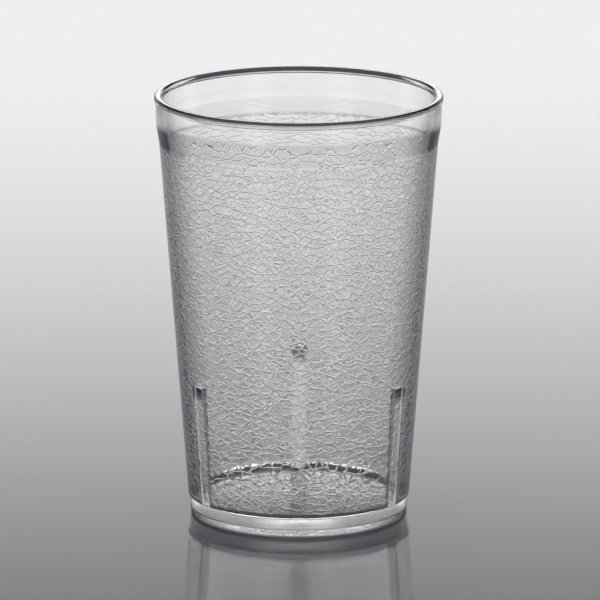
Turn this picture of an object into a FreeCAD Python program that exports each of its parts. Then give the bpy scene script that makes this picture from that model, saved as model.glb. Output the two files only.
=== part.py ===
"""Clear plastic stacking tumbler, moulded in one piece. Millimetres, +Z up, origin at the centre of the foot.

The wall is a straight taper with a grained outside. Over it the wall flares out and then stands nearly
upright under the lip, inside as well as outside, and below it a smooth foot band is a little set back, so
that the cup draws straight up out of its mould. The lip is a full round on a small bead. The underside is
hollow inside a foot ring, with the gate at its centre. Three ribs stand inside the wall, and the foot of
the next cup in a stack rests on their tops.
"""

import FreeCAD, Part

import math
import os

import Sketcher

PARTS_FOLDER = "parts"
NODE = "tumbler"
FULL_TURN = 360.0
SAME_PLACE = 0.001

# The sheet: alias, value in millimetres or degrees, and what it is.
DIMENSIONS = [
    ("cup_height", 104.0, "table to top of lip"),
    ("rim_diameter", 70.0, "widest, across the bead of the lip"),
    ("lip_thickness", 2.2, "full round of the lip, with its bead"),
    ("bead_proud", 0.28, "bead stands out from the rim band"),
    ("bead_step", 0.5, "height of the slope under the bead"),
    ("rim_band_height", 6.5, "top of lip to lower edge of the rim band"),
    ("rim_band_draft", 0.5, "degrees, both sides of the rim band from upright"),
    ("rim_flare_height", 5.0, "flare from the straight wall out to the rim band"),
    ("rim_flare_reach", 0.8, "how far the flare carries the wall outwards"),
    ("wall_draft", 4.44, "degrees, outside of the wall from upright"),
    ("wall_thickness", 2.3, "level through the wall, at the table"),
    ("inside_draft", 4.6, "degrees, inside of the wall from upright"),
    ("foot_band_height", 4.8, "smooth foot band, from the table"),
    ("foot_band_inset", 0.25, "foot band is set back from the grained wall"),
    ("foot_band_step", 0.25, "height of the slope over the foot band"),
    ("foot_ring_width", 2.5, "foot ring, at the table"),
    ("foot_edge_bevel", 0.4, "outer edge of the foot ring"),
    ("recess_depth", 1.8, "hollow of the underside"),
    ("recess_slope", 0.3, "lean of the side of the hollow"),
    ("floor_thickness", 2.4, "floor over the hollow"),
    ("floor_corner_bevel", 1.1, "inside corner of floor and wall"),
    ("dimple_diameter", 5.0, "dimple round the gate"),
    ("dimple_depth", 0.4, "depth of the dimple"),
    ("stub_diameter", 1.6, "stub left by the gate"),
    ("stub_height", 0.25, "height of the stub, inside the dimple"),
    ("rib_count", 3, "ribs round the inside of the wall"),
    ("rib_height", 34.5, "table to rib top, the rise of each cup in a stack"),
    ("rib_bearing", 0.25, "flat of the foot ring that rests on a rib top"),
    ("rib_crown_width", 3.4, "across the crown of a rib, at its top"),
    ("rib_foot_reach", 0.6, "rib stands in from the wall, at the floor"),
    ("rib_side_draft", 0.5, "degrees, sides of a rib from upright"),
    ("rib_flank_angle", 10.0, "degrees, flank of a rib in plan"),
    ("rib_edge_radius", 0.35, "upright edges of a rib's crown"),
    ("rib_root_depth", 0.8, "rib carried into wall and floor, to join them"),
]

# Places on the section, as expressions on the sheet. The radii are those at the table: each face of the
# wall is carried down to it, and the grained wall hangs by its draft from the rim.
WALL_SLOPE = "tan(dims.wall_draft * 1 deg)"
INSIDE_SLOPE = "tan(dims.inside_draft * 1 deg)"
BAND_SLOPE = "tan(dims.rim_band_draft * 1 deg)"
LIP_RADIUS = "dims.lip_thickness / 2"
LIP_CENTRE_RADIUS = f"(dims.rim_diameter / 2 - {LIP_RADIUS})"
LIP_CENTRE_LEVEL = f"(dims.cup_height - {LIP_RADIUS})"
BAND_END = f"({LIP_CENTRE_LEVEL} - dims.bead_step)"
BAND_START = "(dims.cup_height - dims.rim_band_height)"
WALL_END = f"({BAND_START} - dims.rim_flare_height)"
WALL_START = "(dims.foot_band_height + dims.foot_band_step)"
FLOOR_LEVEL = "(dims.recess_depth + dims.floor_thickness)"
BAND_TOP_RADIUS = "(dims.rim_diameter / 2 - dims.bead_proud)"
BAND_RADIUS = f"({BAND_TOP_RADIUS} - ({BAND_END} - {BAND_START}) * {BAND_SLOPE})"
BAND_INSIDE = f"({LIP_CENTRE_RADIUS} - {LIP_RADIUS} - dims.rim_band_height * {BAND_SLOPE})"
WALL_RADIUS = f"({BAND_RADIUS} - dims.rim_flare_reach - {WALL_END} * {WALL_SLOPE})"
INNER_RADIUS = f"({WALL_RADIUS} - dims.wall_thickness)"
FOOT_RADIUS = f"({WALL_RADIUS} - dims.foot_band_inset)"
RING_INSIDE = f"({FOOT_RADIUS} - dims.foot_ring_width)"
RECESS_RADIUS = f"({RING_INSIDE} - dims.recess_slope)"

# Places on a rib. Its crown lies just inside the flat of the foot ring of the next cup.
CROWN_RADIUS = f"({FOOT_RADIUS} - dims.foot_edge_bevel - dims.rib_bearing)"
RIB_BOTTOM = f"({FLOOR_LEVEL} - dims.rib_root_depth)"
CROWN_FOOT_RADIUS = f"({INNER_RADIUS} + {RIB_BOTTOM} * {INSIDE_SLOPE} - dims.rib_foot_reach)"

# The gate dimple is a shallow ball cap.
DIMPLE_TOP = "(dims.recess_depth + dims.dimple_depth)"
DIMPLE_BALL = "((dims.dimple_diameter ^ 2 / 4 + dims.dimple_depth ^ 2) / (2 * dims.dimple_depth))"

# The numbers by which a sketch knows its axes, its origin and the ends of a line.
H_AXIS_INDEX = -1
V_AXIS_INDEX = -2
ORIGIN_INDEX = -1
START, END, CENTRE = 1, 2, 3


def make_sheet(doc):
    """The spreadsheet of driving dimensions."""
    sheet = doc.addObject("Spreadsheet::Sheet", "dims")
    for row, (alias, value, note) in enumerate(DIMENSIONS, start=1):
        sheet.set(f"A{row}", str(value))
        sheet.setAlias(f"A{row}", alias)
        sheet.set(f"B{row}", note)
    doc.recompute()
    return sheet


def value_of(sheet, text):
    """The value of an expression on the sheet, as a plain number."""
    result = sheet.evalExpression(text)
    return float(getattr(result, "Value", result))


def new_sketch(body, name, plane):
    """An empty sketch on one of the body's own origin planes."""
    sketch = body.newObject("Sketcher::SketchObject", name)
    support = next(item for item in body.Origin.OriginFeatures if item.Role == plane)
    sketch.AttachmentSupport = [(support, "")]
    sketch.MapMode = "FlatFace"
    return sketch


def bind(sketch, constraint, text):
    """Adds a constraint whose value follows an expression on the sheet."""
    index = sketch.addConstraint(constraint)
    sketch.setExpression(f"Constraints[{index}]", text)


def pin(sheet, sketch, line, end, across, up):
    """Ties a point of the sketch to its distances from the sketch's two axes."""
    for kind, axis, text in (("DistanceX", V_AXIS_INDEX, across), ("DistanceY", H_AXIS_INDEX, up)):
        if text == "0":
            sketch.addConstraint(Sketcher.Constraint("PointOnObject", line, end, axis))
        else:
            distance = value_of(sheet, text)
            bind(sketch, Sketcher.Constraint(kind, ORIGIN_INDEX, START, line, end, distance), text)


def add_line(sheet, sketch, start, finish):
    """A straight line between two points, each given as a pair of expressions."""
    ends = [FreeCAD.Vector(value_of(sheet, x), value_of(sheet, y), 0) for x, y in (start, finish)]
    return sketch.addGeometry(Part.LineSegment(*ends))


def add_run(sheet, sketch, points):
    """Lines joined end to end through the points, each point pinned. Returns the lines."""
    lines = [add_line(sheet, sketch, *pair) for pair in zip(points, points[1:])]
    for line, (across, up) in zip(lines, points):
        pin(sheet, sketch, line, START, across, up)
    pin(sheet, sketch, lines[-1], END, *points[-1])
    for line, following in zip(lines, lines[1:]):
        sketch.addConstraint(Sketcher.Constraint("Coincident", line, END, following, START))
    return lines


def join(sketch, line, end, other, other_end):
    """Makes two ends in a sketch one point."""
    sketch.addConstraint(Sketcher.Constraint("Coincident", line, end, other, other_end))


def make_section(sheet, body):
    """The cup's section, outside then lip then inside, on the plane through its axis."""
    sketch = new_sketch(body, "section", "XZ_Plane")
    outside = add_run(sheet, sketch, [
        ("0", "dims.recess_depth"),
        (RECESS_RADIUS, "dims.recess_depth"),
        (RING_INSIDE, "0"),
        (FOOT_RADIUS, "0"),
        (f"{FOOT_RADIUS} + dims.foot_band_height * {WALL_SLOPE}", "dims.foot_band_height"),
        (f"{WALL_RADIUS} + {WALL_START} * {WALL_SLOPE}", WALL_START),
        (f"{WALL_RADIUS} + {WALL_END} * {WALL_SLOPE}", WALL_END),
        (BAND_RADIUS, BAND_START),
        (BAND_TOP_RADIUS, BAND_END),
        ("dims.rim_diameter / 2", LIP_CENTRE_LEVEL),
    ])

    # The inside of the rim band leaves the lip as a tangent.
    centre = FreeCAD.Vector(value_of(sheet, LIP_CENTRE_RADIUS), value_of(sheet, LIP_CENTRE_LEVEL), 0)
    aim = FreeCAD.Vector(value_of(sheet, BAND_INSIDE), value_of(sheet, BAND_START), 0)
    radius = value_of(sheet, LIP_RADIUS)
    reach = centre - aim
    lean = math.atan2(reach.y, reach.x) + math.asin(radius / reach.Length)
    along = FreeCAD.Vector(math.cos(lean), math.sin(lean), 0)
    touch = aim + along * math.sqrt(reach.Length ** 2 - radius ** 2)
    circle = Part.Circle(centre, FreeCAD.Vector(0, 0, 1), radius)
    lip = sketch.addGeometry(Part.ArcOfCircle(circle, 0, lean + math.pi / 2))
    band = sketch.addGeometry(Part.LineSegment(touch, aim))
    pin(sheet, sketch, lip, CENTRE, LIP_CENTRE_RADIUS, LIP_CENTRE_LEVEL)
    join(sketch, outside[-1], END, lip, START)
    sketch.addConstraint(Sketcher.Constraint("Tangent", lip, END, band, START))

    inside = add_run(sheet, sketch, [
        (BAND_INSIDE, BAND_START),
        (f"{INNER_RADIUS} + {WALL_END} * {INSIDE_SLOPE}", WALL_END),
        (f"{INNER_RADIUS} + {FLOOR_LEVEL} * {INSIDE_SLOPE}", FLOOR_LEVEL),
        ("0", FLOOR_LEVEL),
    ])
    join(sketch, band, END, inside[0], START)
    axis = add_line(sheet, sketch, ("0", FLOOR_LEVEL), ("0", "dims.recess_depth"))
    join(sketch, inside[-1], END, axis, START)
    join(sketch, axis, END, outside[0], START)
    return sketch


def turn(body, name, sketch, kind):
    """Turns a section right round the cup's axis, to add or to cut."""
    feature = body.newObject(kind, name)
    feature.Profile = sketch
    feature.ReferenceAxis = (sketch, ["V_Axis"])
    feature.Angle = FULL_TURN
    return feature


def edges_where(shape, wanted):
    """The names of the edges of a shape that pass a test."""
    return [f"Edge{number}" for number, edge in enumerate(shape.Edges, start=1) if wanted(edge)]


def hoops_at(shape, level):
    """The names of the full circles of a shape that lie at one level, from the innermost out."""
    found = edges_where(shape, lambda edge: isinstance(edge.Curve, Part.Circle) and edge.Closed
                        and abs(edge.Curve.Center.z - level) < SAME_PLACE)
    return sorted(found, key=lambda name: shape.getElement(name).Curve.Radius)


def dress(doc, body, name, kind, base, edges, size):
    """A fillet or a chamfer on the named edges of the feature before it."""
    if not edges:
        raise RuntimeError(f"{name} found no edge")
    feature = body.newObject(f"PartDesign::{kind}", name)
    feature.Base = (base, edges)
    feature.setExpression("Radius" if kind == "Fillet" else "Size", size)
    doc.recompute()
    return feature


def make_gate_section(sheet, body):
    """Half of the dimple round the gate, less the stub that stands in it."""
    sketch = new_sketch(body, "gate_section", "XZ_Plane")
    stub = "dims.stub_diameter / 2"
    rim = "dims.dimple_diameter / 2"
    stub_end = f"{DIMPLE_TOP} - dims.stub_height"
    lines = add_run(sheet, sketch, [
        (rim, "dims.recess_depth"),
        (rim, "dims.recess_depth - dims.dimple_depth"),
        ("0", "dims.recess_depth - dims.dimple_depth"),
        ("0", stub_end),
        (stub, stub_end),
    ])
    ball = value_of(sheet, DIMPLE_BALL)
    centre = FreeCAD.Vector(0, value_of(sheet, DIMPLE_TOP) - ball, 0)
    start = math.acos(value_of(sheet, rim) / ball)
    finish = math.acos(value_of(sheet, stub) / ball)
    circle = Part.Circle(centre, FreeCAD.Vector(0, 0, 1), ball)
    cap = sketch.addGeometry(Part.ArcOfCircle(circle, start, finish))
    top = FreeCAD.Vector(value_of(sheet, stub), centre.y + ball * math.sin(finish), 0)
    side = sketch.addGeometry(Part.LineSegment(
        FreeCAD.Vector(value_of(sheet, stub), value_of(sheet, stub_end), 0), top))
    pin(sheet, sketch, cap, CENTRE, "0", f"{DIMPLE_TOP} - {DIMPLE_BALL}")
    join(sketch, cap, START, lines[0], START)
    join(sketch, lines[-1], END, side, START)
    sketch.addConstraint(Sketcher.Constraint("Vertical", side))
    join(sketch, side, END, cap, END)
    return sketch


def make_rib_section(sheet, body, name, level, crown):
    """A rib in plan at one level: its crown at that radius, and two flanks that run out into the wall."""
    sketch = new_sketch(body, name, "XY_Plane")
    sketch.setExpression("AttachmentOffset.Base.z", level)
    drop = f"(dims.rib_height - {level})"
    root = f"({INNER_RADIUS} + {level} * {INSIDE_SLOPE} + dims.rib_root_depth)"
    half = f"(dims.rib_crown_width / 2 + {drop} * tan(dims.rib_side_draft * 1 deg))"
    wide = f"({half} + ({root} - {crown}) * tan(dims.rib_flank_angle * 1 deg))"
    lines = add_run(sheet, sketch, [
        (f"-{wide}", root),
        (f"-{half}", crown),
        (half, crown),
        (wide, root),
    ])
    back = add_line(sheet, sketch, (wide, root), (f"-{wide}", root))
    join(sketch, lines[-1], END, back, START)
    join(sketch, back, END, lines[0], START)
    return sketch


def make_ribs(doc, sheet, body):
    """One rib lofted from the floor to its top, and its copies round the axis."""
    foot = make_rib_section(sheet, body, "rib_foot_section", RIB_BOTTOM, CROWN_FOOT_RADIUS)
    top = make_rib_section(sheet, body, "rib_top_section", "dims.rib_height", CROWN_RADIUS)
    rib = body.newObject("PartDesign::AdditiveLoft", "rib")
    rib.Profile = foot
    rib.Sections = [top]
    rib.Ruled = True
    doc.recompute()
    ribs = body.newObject("PartDesign::PolarPattern", "ribs")
    ribs.Originals = [rib]
    ribs.Axis = (foot, ["N_Axis"])
    ribs.Angle = FULL_TURN
    ribs.setExpression("Occurrences", "dims.rib_count")
    body.Tip = ribs
    doc.recompute()
    return ribs


def crown_edges(sheet, shape):
    """The names of the upright edges of the rib crowns: the long ones that start at a crown's top corners."""
    corner_radius = math.hypot(value_of(sheet, CROWN_RADIUS), value_of(sheet, "dims.rib_crown_width / 2"))
    top = value_of(sheet, "dims.rib_height")

    def is_upright(edge):
        high = max((vertex.Point for vertex in edge.Vertexes), key=lambda point: point.z)
        low = min(vertex.Point.z for vertex in edge.Vertexes)
        return (abs(math.hypot(high.x, high.y) - corner_radius) < SAME_PLACE
                and abs(high.z - top) < SAME_PLACE and top - low > SAME_PLACE)

    return edges_where(shape, is_upright)


def expect_change(before, after, more):
    """Stops unless a feature added material, or took some away, as it should."""
    change = after.Shape.Volume - before.Shape.Volume
    if (change > 0) != more:
        raise RuntimeError(f"{after.Name} changed the volume by {change:.3f}")


def make_tumbler(doc, sheet):
    """The whole cup, as one body."""
    body = doc.addObject("PartDesign::Body", NODE)
    body.Label = NODE
    section = make_section(sheet, body)
    doc.recompute()
    cup = turn(body, "cup", section, "PartDesign::Revolution")
    doc.recompute()

    floor_hoop = hoops_at(cup.Shape, value_of(sheet, FLOOR_LEVEL))
    corner = dress(doc, body, "floor_corner", "Chamfer", cup, floor_hoop, "dims.floor_corner_bevel")
    outer_hoop = hoops_at(corner.Shape, 0)[-1:]
    foot = dress(doc, body, "foot_edge", "Chamfer", corner, outer_hoop, "dims.foot_edge_bevel")
    expect_change(cup, corner, more=True)
    expect_change(corner, foot, more=False)

    gate = turn(body, "gate", make_gate_section(sheet, body), "PartDesign::Groove")
    doc.recompute()
    expect_change(foot, gate, more=False)

    ribs = make_ribs(doc, sheet, body)
    expect_change(gate, ribs, more=True)
    crowns = dress(doc, body, "rib_crowns", "Fillet", ribs, crown_edges(sheet, ribs.Shape),
                   "dims.rib_edge_radius")
    expect_change(ribs, crowns, more=False)
    body.Tip = crowns
    doc.recompute()
    return body


def check_document(doc):
    """Stops if anything in the document failed, or the cup isn't one sound solid."""
    for item in doc.Objects:
        if "Invalid" in item.State or "Error" in item.State:
            raise RuntimeError(f"{item.Name} failed: {item.State}")
        shape = getattr(item, "Shape", None)
        if item.TypeId == "PartDesign::Body" and (shape.isNull() or not shape.isValid()):
            raise RuntimeError(f"{item.Name} has no sound shape")


def main():
    """Builds the cup and writes it."""
    os.makedirs(PARTS_FOLDER, exist_ok=True)
    doc = FreeCAD.newDocument("stacking_tumbler")
    sheet = make_sheet(doc)
    body = make_tumbler(doc, sheet)
    check_document(doc)
    if len(body.Shape.Solids) != 1:
        raise RuntimeError(f"{NODE} has {len(body.Shape.Solids)} solids")
    body.Shape.exportStep(os.path.join(PARTS_FOLDER, f"{body.Label}.step"))
    print(f"{body.Label}: {body.Shape.Volume:.1f} cubic millimetres, {len(body.Shape.Faces)} faces")


main()
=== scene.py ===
"""Clear plastic tumbler: a moulded stacking cup with a grained wall, and the plain studio it stands in."""

import math

import bpy
import numpy as np
from bpy.props import FloatProperty, FloatVectorProperty, IntProperty, PointerProperty
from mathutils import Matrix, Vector, noise


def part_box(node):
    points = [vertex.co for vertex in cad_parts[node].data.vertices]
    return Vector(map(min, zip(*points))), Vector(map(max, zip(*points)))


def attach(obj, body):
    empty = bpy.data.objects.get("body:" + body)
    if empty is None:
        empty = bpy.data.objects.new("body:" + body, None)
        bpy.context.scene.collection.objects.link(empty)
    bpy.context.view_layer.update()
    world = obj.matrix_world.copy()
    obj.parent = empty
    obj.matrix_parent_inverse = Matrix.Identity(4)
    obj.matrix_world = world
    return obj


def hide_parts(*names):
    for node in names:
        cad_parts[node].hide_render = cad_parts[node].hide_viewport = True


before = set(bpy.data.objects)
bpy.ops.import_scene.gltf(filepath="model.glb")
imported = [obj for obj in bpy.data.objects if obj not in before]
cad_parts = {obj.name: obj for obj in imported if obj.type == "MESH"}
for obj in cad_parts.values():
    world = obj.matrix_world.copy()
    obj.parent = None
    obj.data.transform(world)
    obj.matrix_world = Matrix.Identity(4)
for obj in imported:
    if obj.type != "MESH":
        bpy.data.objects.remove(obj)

bl_info = {
    "name": "Clear Plastic Tumbler",
    "version": (1, 0, 0),
    "blender": (4, 5, 0),
    "location": "3D View > Sidebar > Tumbler",
    "description": "Models a clear moulded tumbler with a grained wall, and a pale studio for it",
    "category": "Object",
}

NODE = "tumbler"
BODY = "root"
MM = 0.001
FULL_TURN = 2 * math.pi

CUP_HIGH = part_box(NODE)[1]

# Faces over each round stretch of the section, and rows of faces on the plain stretches inside.
BEND_STEPS = 5
LIP_STEPS = 8
DIMPLE_STEPS = 5
PLAIN_ROWS = 12
RIB_ROWS = 8
CORNER_ROWS = 7

# Faces over half of a rib's crown, and over the round edge beside it.
CROWN_STEPS = 3
CROWN_EDGE_STEPS = 4

# Rings of the floor's top, as shares of its width.
FLOOR_RINGS = (0.97, 0.85, 0.65, 0.45, 0.25, 0.1)

# Columns on each side of a rib that ease back to their even places.
EASED_COLUMNS = 6

# The mesh's pebbles wander in bends of this width, in pebbles, and over this share of the creases' reach.
# The wander is drawn from the seed, so that each run makes the same cup.
PEBBLE_BEND = 0.8
PEBBLE_WANDER = 0.5
GRAIN_SEED = 1

# The creases wander in bends of this width, in pebbles, with this much detail.
CREASE_BEND = 1.3
CREASE_DETAIL = 3.0

# Faces that meet at more than this angle keep a sharp edge between them.
SHARP_EDGE = math.radians(35)


def length(name, description, default):
    """A size in metres, shown in the scene's unit."""
    return FloatProperty(name=name, description=description, default=default, min=0.0, unit="LENGTH")


def factor(name, description, default):
    """A share from none to all."""
    return FloatProperty(name=name, description=description, default=default, min=0.0, max=1.0,
                         subtype="FACTOR")


def angle(name, description, default):
    """An angle, given in degrees."""
    return FloatProperty(name=name, description=description, default=math.radians(default), subtype="ANGLE")


def amount(name, description, default, least=0.0):
    """A plain number that isn't under the least."""
    return FloatProperty(name=name, description=description, default=default, min=least)


def count(name, description, default, least=1):
    """A number of things, which isn't under the least."""
    return IntProperty(name=name, description=description, default=default, min=least)


def colour(name, description, default):
    """A plain colour."""
    return FloatVectorProperty(name=name, description=description, default=default, size=3, min=0.0,
                               max=1.0, subtype="COLOR")


class TumblerForm(bpy.types.PropertyGroup):
    """Sizes of the cup."""

    height: length("Height", "Table to top of lip", CUP_HIGH.z)
    rim_radius: length("Rim Radius", "Axis to outside of the lip's bead", CUP_HIGH.x)
    lip: length("Lip", "Thickness of the lip", 2.2 * MM)
    lip_outside: length("Lip Outside", "Roundness of the lip's outer edge", 0.6 * MM)
    lip_inside: length("Lip Inside", "Roundness of the lip's inner edge", 1.0 * MM)
    bead_height: length("Bead", "Top of lip to the underside of the bead", 1.45 * MM)
    bead_proud: length("Bead Proud", "Bead stands out from the rim band", 0.28 * MM)
    bead_step: length("Bead Step", "Height of the slope under the bead", 0.25 * MM)
    band_height: length("Rim Band", "Top of lip to lower edge of the rim band", 6.5 * MM)
    band_draft: angle("Rim Band Draft", "Lean of the rim band", 0.5)
    band_edge: length("Band Edge", "Roundness of the edges of the rim band and the foot band", 0.06 * MM)
    flare_height: length("Flare", "Height of the flare from the straight wall out to the rim band", 5.0 * MM)
    flare_reach: length("Flare Reach", "How far the flare carries the wall outwards", 0.8 * MM)
    flare_round: length("Flare Roundness", "Radius of the bends above and below the flare", 12.0 * MM)
    draft: angle("Draft", "Lean of the outside of the wall", 4.44)
    wall: length("Wall", "Thickness of the wall at the table, measured level", 2.3 * MM)
    inside_draft: angle("Inside Draft", "Lean of the inside of the wall", 4.6)
    foot_height: length("Foot Band", "Smooth band at the foot", 4.8 * MM)
    foot_inset: length("Foot Inset", "Foot band is set back from the grained wall", 0.25 * MM)
    foot_step: length("Foot Step", "Height of the slope over the foot band", 0.25 * MM)
    ring: length("Foot Ring", "Width of the foot ring", 2.5 * MM)
    recess: length("Hollow", "Hollow of the underside", 1.8 * MM)
    recess_lean: length("Hollow Lean", "Lean of the side of the hollow", 0.3 * MM)
    floor: length("Floor", "Floor over the hollow", 2.4 * MM)
    floor_corner: length("Floor Corner", "Inside corner of floor and wall", 1.6 * MM)
    edge: length("Foot Edge", "Roundness of the foot ring's edges", 0.45 * MM)
    dimple: length("Gate Dimple", "Radius of the dimple round the gate", 2.5 * MM)
    dimple_depth: length("Dimple Depth", "Depth of the dimple", 0.4 * MM)
    stub: length("Gate Stub", "Radius of the stub left by the gate", 0.8 * MM)
    stub_height: length("Stub Height", "Height of the stub", 0.25 * MM)
    rib_count: count("Ribs", "Stacking ribs round the inside", 3, least=0)
    rib_height: length("Rib Height", "Table to the top of a rib", 34.5 * MM)
    rib_half: length("Rib Half Width", "Half the width of a rib's crown", 1.7 * MM)
    rib_reach: length("Rib Reach", "Rib stands in from the wall, at its top", 1.38 * MM)
    rib_foot_reach: length("Rib Foot Reach", "Rib stands in from the wall, at the floor", 0.6 * MM)
    rib_flank: angle("Rib Flank", "Lean of a rib's sides, seen from above", 10)
    rib_edge: length("Rib Edge", "Roundness of a rib's crown", 0.2 * MM)
    rib_top_edge: length("Rib Top Edge", "Roundness of a rib's top", 0.12 * MM)
    rib_margin: length("Rib Margin", "Plain wall drawn up to a rib's root", 0.25 * MM)
    columns: count("Columns", "Faces round the cup", 384, least=48)
    row: length("Grain Row", "Height of a row of faces on the grained wall", 0.8 * MM)


class TumblerGrain(bpy.types.PropertyGroup):
    """The grain of the outside wall and the underside."""

    relief: length("Relief", "Height of the pebbles, in the mesh", 0.004 * MM)
    depth: length("Crease Depth", "Depth of the fine creases between the pebbles", 0.017 * MM)
    cell: length("Cell", "Width of a pebble", 2.3 * MM)
    flatten: amount("Flatten", "Width of a pebble over its height", 1.3, least=0.1)
    crease: factor("Crease", "Width of a crease, as a share of a pebble", 0.11)
    small_cell: factor("Small Cell", "Width of a small pebble, as a share of a pebble", 0.55)
    small_crease: factor("Small Crease", "Width of a small crease, as a share of a small pebble", 0.176)
    small_share: factor("Small Share", "Depth of the small creases, as a share of the whole depth", 0.1)
    pebble_side: factor("Pebble Side", "Width of a pebble's sloping side, as a share of a pebble", 0.5)
    wander: length("Wander", "How far the creases wander", 0.1 * MM)
    fade: length("Fade", "Height over which the grain dies out at the bands", 0.6 * MM)


class TumblerPlastic(bpy.types.PropertyGroup):
    """The clear plastic."""

    tint: colour("Tint", "Colour of the plastic", (0.985, 0.987, 0.99))
    ior: amount("IOR", "How strongly the plastic bends light", 1.57, least=1.0)
    roughness: factor("Roughness", "Haze of the moulded surface", 0.015)
    frost: factor("Frost", "Roughness of the grained underside", 0.18)


class TumblerStudio(bpy.types.PropertyGroup):
    """The studio."""

    floor_half: length("Floor", "Half the width of the floor", 6.0)
    floor_colour: colour("Floor Colour", "Colour of the floor", (0.12, 0.135, 0.155))
    floor_roughness: factor("Floor Roughness", "Roughness of the floor", 0.1)
    panels: count("Panels", "Tall light panels round the table", 5)
    panel_core: angle("Panel Core", "Bearing from a panel's middle up to which it is full", 3.5)
    panel_side: angle("Panel Side", "Bearing from a panel's middle at which it has faded out", 16)
    panel_light: amount("Panel Light", "Light from the panels", 3.4)
    panel_gap: factor("Panel Gap", "Light left between two panels, as a share", 0.45)
    panel_low: factor("Panel Foot", "Light of a panel at its foot, as a share of its brightest", 0.3)
    panel_start: angle("Panel Start", "Elevation at which a panel begins to brighten", 8.5)
    panel_full: angle("Panel Full", "Elevation at which a panel is brightest", 11.2)
    panel_end: angle("Panel End", "Elevation at which a panel has faded out", 18.4)
    overhead_light: amount("Overhead Light", "Light of the soft box overhead", 0.4)
    overhead_start: angle("Overhead Start", "Elevation at which the soft box overhead begins", 30.0)
    overhead_full: angle("Overhead Full", "Elevation from which it is full", 55.0)
    room_light: amount("Room Light", "Soft light from the rest of the room", 0.1)
    room_colour: colour("Room Colour", "Colour of the soft light", (0.90, 0.95, 1.0))
    camera_back: length("Camera Distance", "Level distance from the cup's axis to the camera", 1.536)
    camera_up: length("Camera Height", "Height of the camera over the table", 0.421)
    camera_drop: angle("Camera Drop", "How far the camera looks down", 13.48)
    camera_turn: angle("Camera Turn", "How far the camera looks to the left", -0.0115)
    focal: amount("Focal Length", "Focal length for a 36 mm sensor", 389.0, least=1.0)
    bounces: count("Bounces", "Times that light may bounce or pass through plastic", 24)
    mirror_bounces: count("Mirror Bounces", "Times that light may be mirrored", 16)


def rounded(corners, steps=BEND_STEPS):
    """Points along a run of straight lines with rounded corners: a corner is radius, level, roundness."""
    points = []
    for index, (radius, level, bend) in enumerate(corners):
        here = np.array((radius, level))
        if not bend or index in (0, len(corners) - 1):
            points.append(here)
            continue
        before = np.array(corners[index - 1][:2]) - here
        after = np.array(corners[index + 1][:2]) - here
        before /= np.linalg.norm(before)
        after /= np.linalg.norm(after)
        half = math.acos(np.clip(before @ after, -1, 1)) / 2
        reach = bend / math.tan(half)
        centre = here + (before + after) / np.linalg.norm(before + after) * bend / math.sin(half)
        start = here + before * reach - centre
        finish = here + after * reach - centre
        sweep = math.pi - 2 * half
        for step in range(steps + 1):
            share = step / steps
            from_start = math.sin((1 - share) * sweep) / math.sin(sweep)
            from_finish = math.sin(share * sweep) / math.sin(sweep)
            points.append(centre + start * from_start + finish * from_finish)
    return points


def subdivided(start, finish, spacing):
    """Points from start up to but not including finish, about spacing apart."""
    steps = max(1, round(math.dist(start, finish) / spacing))
    return [start + (finish - start) * step / steps for step in range(steps)]


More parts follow.
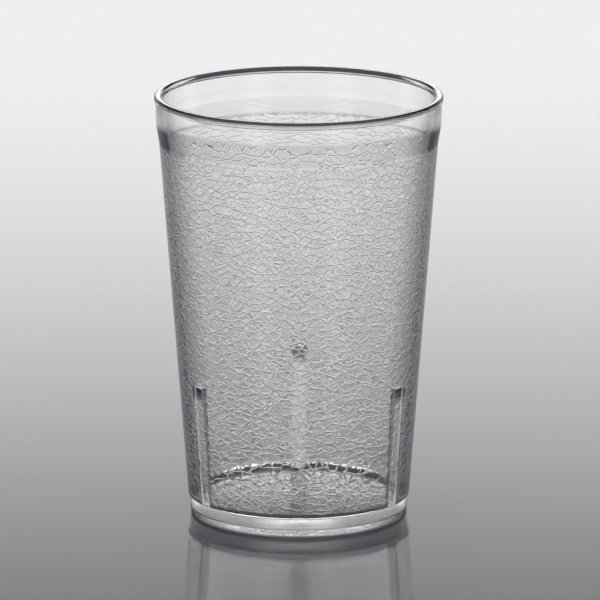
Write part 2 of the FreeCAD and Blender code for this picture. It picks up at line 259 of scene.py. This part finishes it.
class Section:
    """The cup's section: the outside from the gate out, up and over the lip, and the inside to the floor."""

    # Straight stretches of the wall that lead into its rounded runs.
    SHORT_LEAD = 1 * MM
    LONG_LEAD = 2 * MM

    def __init__(self, form):
        self.form = form
        self.slope = math.tan(form.draft)
        self.band_slope = math.tan(form.band_draft)
        self.inside_slope = math.tan(form.inside_draft)
        self.bead_start = form.height - form.bead_height
        self.band_end = self.bead_start - form.bead_step
        self.band_start = form.height - form.band_height
        self.wall_end = self.band_start - form.flare_height
        self.wall_start = form.foot_height + form.foot_step
        self.floor_level = form.recess + form.floor
        self.rib_clear = form.rib_height + self.SHORT_LEAD
        self.band_top = form.rim_radius - form.bead_proud
        self.band = self.band_top - (self.band_end - self.band_start) * self.band_slope
        self.mouth = form.rim_radius - form.lip
        self.wall = self.band - form.flare_reach - self.wall_end * self.slope
        self.foot = self.wall - form.foot_inset
        self.inner = self.wall - form.wall

        under = self.under_run()
        upper = self.upper_run()
        self.outside = self.gate_run() + under[:-1] + subdivided(under[-1], upper[0], form.row) + upper
        self.opening = self.opening_run(upper[-1])

    def outer_radius(self, level):
        """The outside radius of the grained wall at a level."""
        return self.wall + level * self.slope

    def inner_radius(self, level):
        """The inside radius of the plain wall at a level."""
        return self.inner + level * self.inside_slope

    def gate_run(self):
        """The stub and dimple at the centre of the underside, from the axis out."""
        form = self.form
        top = form.recess + form.dimple_depth
        ball = (form.dimple ** 2 + form.dimple_depth ** 2) / (2 * form.dimple_depth)
        points = [np.array((0.0, top - form.stub_height)), np.array((form.stub, top - form.stub_height))]
        for step in range(DIMPLE_STEPS):
            radius = form.stub + (form.dimple - form.stub) * step / DIMPLE_STEPS
            points.append(np.array((radius, top - ball + math.sqrt(ball ** 2 - radius ** 2))))
        return points

    def under_run(self):
        """The hollow, the foot ring and the foot band, up to the start of the grained wall."""
        form = self.form
        ring = self.foot - form.ring
        lead = self.wall_start + self.SHORT_LEAD
        return rounded([
            (form.dimple, form.recess, 0),
            (ring - form.recess_lean, form.recess, form.edge),
            (ring, 0.0, form.edge),
            (self.foot, 0.0, form.edge),
            (self.foot + form.foot_height * self.slope, form.foot_height, form.band_edge),
            (self.outer_radius(self.wall_start), self.wall_start, form.band_edge),
            (self.outer_radius(lead), lead, 0),
        ])

    def upper_run(self):
        """The end of the grained wall, the flare, the rim band, the bead and the lip, into the mouth."""
        form = self.form
        lead = self.wall_end - self.LONG_LEAD
        return rounded([
            (self.outer_radius(lead), lead, 0),
            (self.outer_radius(self.wall_end), self.wall_end, form.flare_round),
            (self.band, self.band_start, form.flare_round),
            (self.band_top, self.band_end, form.band_edge),
            (form.rim_radius, self.bead_start, form.band_edge),
            (form.rim_radius, form.height, form.lip_outside),
            (self.mouth, form.height, form.lip_inside),
            (self.mouth - self.LONG_LEAD * self.band_slope, form.height - self.LONG_LEAD, 0),
        ], steps=LIP_STEPS)

    def opening_run(self, start):
        """The inside of the rim band and of the flare, from the mouth down to the plain wall."""
        form = self.form
        run = rounded([
            (*start, 0),
            (self.mouth - form.band_height * self.band_slope, self.band_start, form.flare_round),
            (self.inner_radius(self.wall_end), self.wall_end, form.flare_round),
            (self.inner_radius(self.rib_clear), self.rib_clear, 0),
        ])
        return run[:-1]

    def inside_radius(self, level):
        """The inside radius at a level, with the opening under the lip and the round corner at the floor."""
        corner = self.form.floor_corner
        if level >= self.opening[-1][1]:
            radii, levels = np.array(self.opening[::-1]).T
            return np.interp(level, levels, radii)
        plain = self.inner_radius(level)
        centre_up = self.floor_level + corner
        if level > centre_up:
            return plain
        centre_out = self.inner_radius(centre_up) - corner / math.cos(self.form.inside_draft)
        rise = min(corner, centre_up - level)
        return min(plain, centre_out + math.sqrt(corner ** 2 - rise ** 2))

    def inside_levels(self):
        """Levels of the rings from the lip down to the floor, and how far the ribs are set back at each.

        The setback is None above the ribs."""
        top = self.form.rib_height
        edge = self.form.rib_top_edge
        corner = self.form.floor_corner
        start = self.opening[-1][1]
        corner_top = self.floor_level + corner
        rib_start = top - edge
        just_over = 0.02 * MM
        opening = [level for _, level in self.opening[1:]]
        above = [start + (self.rib_clear - start) * (step / PLAIN_ROWS)
                 for step in range(1, PLAIN_ROWS + 1)]
        rib_top = [(top + just_over, None), (top, edge), (top - 0.3 * edge, 0.3 * edge), (rib_start, 0.0)]
        below = [rib_start - (rib_start - corner_top) * (step / RIB_ROWS)
                 for step in range(1, RIB_ROWS + 1)]
        turn = [corner_top - corner * math.sin(math.pi / 2 * step / CORNER_ROWS)
                for step in range(1, CORNER_ROWS + 1)]
        over_ribs = [(level, None) for level in opening + above]
        return over_ribs + rib_top + [(level, 0.0) for level in below + turn]

    def rib_reach(self, level):
        """How far a rib stands in from the plain wall at a level."""
        form = self.form
        share = (level - self.floor_level) / (form.rib_height - self.floor_level)
        return form.rib_foot_reach + (form.rib_reach - form.rib_foot_reach) * share


def rib_profile(form, reach):
    """Half of a rib seen from above, from its crown's middle past its root, as offsets and depths."""
    edge = min(form.rib_edge, 0.9 * reach)
    profile = [((form.rib_half - edge) * step / CROWN_STEPS, reach) for step in range(CROWN_STEPS + 1)]
    for step in range(1, CROWN_EDGE_STEPS + 1):
        turn = (math.pi / 2 - form.rib_flank) * step / CROWN_EDGE_STEPS
        profile.append((form.rib_half - edge + edge * math.sin(turn), reach - edge * (1 - math.cos(turn))))
    root = form.rib_half + reach * math.tan(form.rib_flank)
    return profile + [(root, 0.0), (root + form.rib_margin, 0.0)]


def pebble_height(place, grain):
    """Height of the pebbles at a place on the wall, from 0 between them to 1 on top of one."""
    drift = noise.noise_vector(place / (PEBBLE_BEND * grain.cell))
    moved = place + drift * (PEBBLE_WANDER * grain.wander)
    moved.z *= grain.flatten
    distances = noise.voronoi(moved / grain.cell)[0]
    ridge = min(1.0, (distances[1] - distances[0]) / grain.pebble_side)
    return ridge * ridge * (3 - 2 * ridge)


def ring_of(radii, angles, level):
    """One ring of points round the axis."""
    return np.column_stack((radii * np.cos(angles), radii * np.sin(angles), np.full(len(angles), level)))


def even_angles(form):
    """The bearings of the columns, evenly round the cup."""
    return np.arange(form.columns) * FULL_TURN / form.columns


def press_pebbles(ring, section, grain):
    """Draws the points of a ring in between the pebbles, where the ring is on the grained wall."""
    level = ring[0][2]
    fade = min(level - section.wall_start, section.wall_end - level) / grain.fade
    if fade <= 0:
        return
    for point in ring:
        depth = grain.relief * min(1.0, fade) * (1.0 - pebble_height(Vector(point), grain))
        point[:2] *= 1.0 - depth / math.hypot(point[0], point[1])


def outside_rings(section, grain):
    """The rings of the outside, from the stub of the gate over the lip into the mouth."""
    noise.seed_set(GRAIN_SEED)
    even = even_angles(section.form)
    rings = [ring_of(radius, even, level) for radius, level in section.outside[1:]]
    for ring in rings:
        press_pebbles(ring, section, grain)
    return rings


def inside_ring(section, level, setback):
    """One ring of the inside, whose columns close in on the ribs' edges from the mouth down."""
    form = section.form
    plain = section.inner_radius(level)
    open_radius = section.inside_radius(level)
    start = section.opening[0][1]
    closing = min(1.0, (start - level) / (start - form.rib_height))
    profile = rib_profile(form, section.rib_reach(min(level, form.rib_height)))
    last = len(profile) - 1
    root = profile[last][0] / plain
    beyond = last + EASED_COLUMNS + 1
    pitch = FULL_TURN / form.columns
    angles = even_angles(form)
    radii = np.full(form.columns, open_radius)
    for rib in range(form.rib_count):
        rib_angle = math.pi / 2 + FULL_TURN * rib / form.rib_count
        middle = round(rib_angle / pitch)
        for side in (-1, 1):
            for step in range(beyond):
                column = (middle + side * step) % form.columns
                if step <= last:
                    offset, depth = profile[step][0] / plain, profile[step][1]
                else:
                    offset = root + (beyond * pitch - root) * (step - last) / (beyond - last)
                    depth = 0.0
                angles[column] = rib_angle + side * (step * pitch + (offset - step * pitch) * closing)
                if setback is not None and depth > 0:
                    radii[column] = min(open_radius, plain - max(0.0, depth - setback))
    return ring_of(radii, angles, level)


def closed_mesh(name, bottom, rings, top):
    """One closed mesh through the rings, between two points on the axis. Gives the mesh and its points."""
    columns = len(rings[0])
    points = np.vstack(([(0.0, 0.0, bottom)], *rings, [(0.0, 0.0, top)]))
    last = 1 + (len(rings) - 1) * columns
    faces = []
    for column in range(columns):
        following = (column + 1) % columns
        faces.append((0, 1 + following, 1 + column))
        for low in range(1, last, columns):
            high = low + columns
            faces.append((low + column, low + following, high + following, high + column))
        faces.append((last + column, last + following, len(points) - 1))
    mesh = bpy.data.meshes.new(name)
    mesh.from_pydata(points.tolist(), [], faces)
    mesh.update()
    mesh.shade_smooth()
    mesh.set_sharp_from_angle(angle=SHARP_EDGE)
    return mesh, points


def mark(mesh, name, shares):
    """Writes a share from 0 to 1 on each point of a mesh, for its material to read."""
    attribute = mesh.attributes.new(name, "FLOAT", "POINT")
    attribute.data.foreach_set("value", shares.astype(np.float32))


def mark_finishes(mesh, points, section, grain):
    """Marks the grain on the wall and the underside, and the frost on the underside."""
    form = section.form
    levels = points[:, 2]
    radii = np.hypot(points[:, 0], points[:, 1])
    outside = np.arange(len(points)) <= form.columns * (len(section.outside) - 1)
    hollow_top = form.recess + form.dimple_depth + 0.1 * MM
    under = outside & (levels < hollow_top) & (radii < section.foot - 0.3 * form.edge)
    fades = np.minimum(levels - section.wall_start, section.wall_end - levels) / grain.fade
    mark(mesh, "grain", np.where(under, 1.0, np.where(outside, np.clip(fades, 0, 1), 0.0)))
    mark(mesh, "frost", np.where(under, 1.0, 0.0))


def make_cup_mesh(form, grain):
    """The cup as one closed mesh of rings round the axis, with the pebbles and the ribs modelled."""
    section = Section(form)
    rings = outside_rings(section, grain)
    rings += [inside_ring(section, level, setback) for level, setback in section.inside_levels()]
    rings += [rings[-1] * np.array((share, share, 1.0)) for share in FLOOR_RINGS]
    mesh, points = closed_mesh(NODE, section.outside[0][1], rings, section.floor_level)
    mark_finishes(mesh, points, section, grain)
    return mesh


def chain(tree, operation, *values):
    """A Math node with its inputs linked or set, as its output socket."""
    node = tree.nodes.new("ShaderNodeMath")
    node.operation = operation
    for socket, value in zip(node.inputs, values):
        if isinstance(value, (int, float)):
            socket.default_value = value
        else:
            tree.links.new(value, socket)
    return node.outputs[0]


def eased(tree, value, start, finish, low, high):
    """A value that goes smoothly from low at start to high at finish."""
    node = tree.nodes.new("ShaderNodeMapRange")
    node.interpolation_type = "SMOOTHSTEP"
    tree.links.new(value, node.inputs["Value"])
    for name, number in (("From Min", start), ("From Max", finish), ("To Min", low), ("To Max", high)):
        node.inputs[name].default_value = number
    return node.outputs["Result"]


def marked(tree, name):
    """The share that the mesh carries under a name."""
    node = tree.nodes.new("ShaderNodeAttribute")
    node.attribute_name = name
    return node.outputs["Fac"]


def crease_network(tree, place, flatten, size, crease):
    """A net of creases: 0 in a crease, 1 on the flat between them."""
    stretch = tree.nodes.new("ShaderNodeMapping")
    stretch.inputs["Scale"].default_value = (1.0, 1.0, flatten)
    cells = tree.nodes.new("ShaderNodeTexVoronoi")
    cells.feature = "DISTANCE_TO_EDGE"
    cells.inputs["Scale"].default_value = 1.0 / size
    tree.links.new(place, stretch.inputs["Vector"])
    tree.links.new(stretch.outputs["Vector"], cells.inputs["Vector"])
    return eased(tree, cells.outputs["Distance"], 0.0, crease, 0.0, 1.0)


def wandering_place(tree, grain):
    """The place on the cup, pushed about so that the creases wander."""
    place = tree.nodes.new("ShaderNodeTexCoord").outputs["Object"]
    drift = tree.nodes.new("ShaderNodeTexNoise")
    drift.inputs["Scale"].default_value = 1.0 / (CREASE_BEND * grain.cell)
    drift.inputs["Detail"].default_value = CREASE_DETAIL
    centred = tree.nodes.new("ShaderNodeVectorMath")
    centred.operation = "SUBTRACT"
    centred.inputs[1].default_value = (0.5, 0.5, 0.5)
    scaled = tree.nodes.new("ShaderNodeVectorMath")
    scaled.operation = "SCALE"
    scaled.inputs["Scale"].default_value = 2.0 * grain.wander
    moved = tree.nodes.new("ShaderNodeVectorMath")
    tree.links.new(place, drift.inputs["Vector"])
    tree.links.new(drift.outputs["Color"], centred.inputs[0])
    tree.links.new(centred.outputs[0], scaled.inputs[0])
    tree.links.new(place, moved.inputs[0])
    tree.links.new(scaled.outputs[0], moved.inputs[1])
    return moved.outputs[0]


def crease_height(tree, grain):
    """Height of the surface over the bottom of the creases: a main net and a fainter, smaller one."""
    place = wandering_place(tree, grain)
    small_size = grain.small_cell * grain.cell
    main = crease_network(tree, place, grain.flatten, grain.cell, grain.crease)
    small = crease_network(tree, place, grain.flatten, small_size, grain.small_crease)
    main_part = chain(tree, "MULTIPLY", main, 1.0 - grain.small_share)
    small_part = chain(tree, "MULTIPLY", small, grain.small_share)
    return chain(tree, "ADD", main_part, small_part)


def make_plastic(settings, grain):
    """Clear plastic with a fine moulded haze, creased and frosted where the mesh says so."""
    material = bpy.data.materials.new("clear_plastic")
    material.use_nodes = True
    tree = material.node_tree
    shader = tree.nodes["Principled BSDF"]
    shader.inputs["Base Color"].default_value = (*settings.tint, 1.0)
    shader.inputs["IOR"].default_value = settings.ior
    shader.inputs["Transmission Weight"].default_value = 1.0
    frosted = eased(tree, marked(tree, "frost"), 0.0, 1.0, settings.roughness, settings.frost)
    tree.links.new(frosted, shader.inputs["Roughness"])
    bump = tree.nodes.new("ShaderNodeBump")
    bump.inputs["Strength"].default_value = 1.0
    bump.inputs["Distance"].default_value = grain.depth
    height = chain(tree, "MULTIPLY", crease_height(tree, grain), marked(tree, "grain"))
    tree.links.new(height, bump.inputs["Height"])
    tree.links.new(bump.outputs["Normal"], shader.inputs["Normal"])
    return material


class OBJECT_OT_tumbler_cup(bpy.types.Operator):
    """Model the tumbler in place of its solid"""

    bl_idname = "object.tumbler_cup"
    bl_label = "Make Tumbler"

    def execute(self, context):
        scene = context.scene
        mesh = make_cup_mesh(scene.tumbler_form, scene.tumbler_grain)
        cup = bpy.data.objects.new("tumbler_cup", mesh)
        scene.collection.objects.link(cup)
        mesh.materials.append(make_plastic(scene.tumbler_plastic, scene.tumbler_grain))
        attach(cup, BODY)
        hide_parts(NODE)
        return {"FINISHED"}


def make_floor(studio):
    """A wide, plain floor with a soft gloss."""
    half = studio.floor_half
    corners = [(-half, -half, 0), (half, -half, 0), (half, half, 0), (-half, half, 0)]
    mesh = bpy.data.meshes.new("floor")
    mesh.from_pydata(corners, [], [(0, 1, 2, 3)])
    floor = bpy.data.objects.new("floor", mesh)
    material = bpy.data.materials.new("studio_floor")
    material.use_nodes = True
    shader = material.node_tree.nodes["Principled BSDF"]
    shader.inputs["Base Color"].default_value = (*studio.floor_colour, 1.0)
    shader.inputs["Roughness"].default_value = studio.floor_roughness
    mesh.materials.append(material)
    return floor


def panel_glow(tree, studio, rise, bearing):
    """Light of the tall panels, by elevation and bearing."""
    fading = eased(tree, rise, studio.panel_full, studio.panel_end, 1.0, 0.0)
    growing = eased(tree, rise, studio.panel_start, studio.panel_full, studio.panel_low, 1.0)
    height = chain(tree, "MULTIPLY", growing, fading)
    wave = chain(tree, "COSINE", chain(tree, "MULTIPLY", bearing, studio.panels))
    faded = math.cos(studio.panels * studio.panel_side)
    full = math.cos(studio.panels * studio.panel_core)
    width = eased(tree, wave, faded, full, studio.panel_gap, 1.0)
    return chain(tree, "MULTIPLY", chain(tree, "MULTIPLY", height, width), studio.panel_light)


def make_sky(studio):
    """Tall light panels standing round the table and a soft box overhead, in a dim room."""
    world = bpy.data.worlds.new("studio_light")
    world.use_nodes = True
    tree = world.node_tree
    room = tree.nodes["Background"]
    room.inputs["Color"].default_value = (*studio.room_colour, 1.0)
    room.inputs["Strength"].default_value = studio.room_light
    split = tree.nodes.new("ShaderNodeSeparateXYZ")
    tree.links.new(tree.nodes.new("ShaderNodeTexCoord").outputs["Generated"], split.inputs["Vector"])
    rise = chain(tree, "ARCSINE", split.outputs["Z"])
    bearing = chain(tree, "ARCTAN2", split.outputs["X"], split.outputs["Y"])
    panels = panel_glow(tree, studio, rise, bearing)
    overhead = eased(tree, rise, studio.overhead_start, studio.overhead_full, 0.0, studio.overhead_light)
    glow = tree.nodes.new("ShaderNodeBackground")
    tree.links.new(chain(tree, "ADD", panels, overhead), glow.inputs["Strength"])
    both = tree.nodes.new("ShaderNodeAddShader")
    tree.links.new(room.outputs[0], both.inputs[0])
    tree.links.new(glow.outputs[0], both.inputs[1])
    tree.links.new(both.outputs[0], tree.nodes["World Output"].inputs["Surface"])
    return world


def make_camera(studio):
    """The camera, at the photograph's height, distance and angle."""
    data = bpy.data.cameras.new("camera")
    data.lens = studio.focal
    camera = bpy.data.objects.new("camera", data)
    camera.location = (0.0, -studio.camera_back, studio.camera_up)
    camera.rotation_euler = (math.pi / 2 - studio.camera_drop, 0.0, studio.camera_turn)
    return camera


class OBJECT_OT_tumbler_stage(bpy.types.Operator):
    """Lay the floor and set the light and the camera"""

    bl_idname = "object.tumbler_stage"
    bl_label = "Make Stage"

    def execute(self, context):
        scene = context.scene
        studio = scene.tumbler_studio
        floor = make_floor(studio)
        scene.collection.objects.link(floor)
        scene.world = make_sky(studio)
        camera = make_camera(studio)
        scene.collection.objects.link(camera)
        scene.camera = camera
        scene.view_settings.view_transform = "Standard"
        scene.cycles.max_bounces = studio.bounces
        scene.cycles.transmission_bounces = studio.bounces
        scene.cycles.glossy_bounces = studio.mirror_bounces
        return {"FINISHED"}


class VIEW3D_PT_tumbler(bpy.types.Panel):
    """Sizes, finish and stage of the tumbler"""

    bl_label = "Tumbler"
    bl_space_type = "VIEW_3D"
    bl_region_type = "UI"
    bl_category = "Tumbler"

    def draw(self, context):
        layout = self.layout
        for attribute, group in PROPERTY_GROUPS.items():
            box = layout.box()
            box.label(text=group.__doc__)
            settings = getattr(context.scene, attribute)
            for name in group.__annotations__:
                box.prop(settings, name)
        layout.operator(OBJECT_OT_tumbler_cup.bl_idname)
        layout.operator(OBJECT_OT_tumbler_stage.bl_idname)


PROPERTY_GROUPS = {
    "tumbler_form": TumblerForm,
    "tumbler_grain": TumblerGrain,
    "tumbler_plastic": TumblerPlastic,
    "tumbler_studio": TumblerStudio,
}
CLASSES = (*PROPERTY_GROUPS.values(), OBJECT_OT_tumbler_cup, OBJECT_OT_tumbler_stage, VIEW3D_PT_tumbler)


def register():
    """Adds the tumbler's settings, operators and panel to Blender."""
    for cls in CLASSES:
        bpy.utils.register_class(cls)
    for attribute, group in PROPERTY_GROUPS.items():
        setattr(bpy.types.Scene, attribute, PointerProperty(type=group))


def unregister():
    """Takes them away again."""
    for attribute in PROPERTY_GROUPS:
        delattr(bpy.types.Scene, attribute)
    for cls in reversed(CLASSES):
        bpy.utils.unregister_class(cls)


def main():
    """Makes the cup and its stage."""
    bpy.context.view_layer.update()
    register()
    bpy.ops.object.tumbler_cup()
    bpy.ops.object.tumbler_stage()
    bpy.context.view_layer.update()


if __name__ == "__main__":
    main()
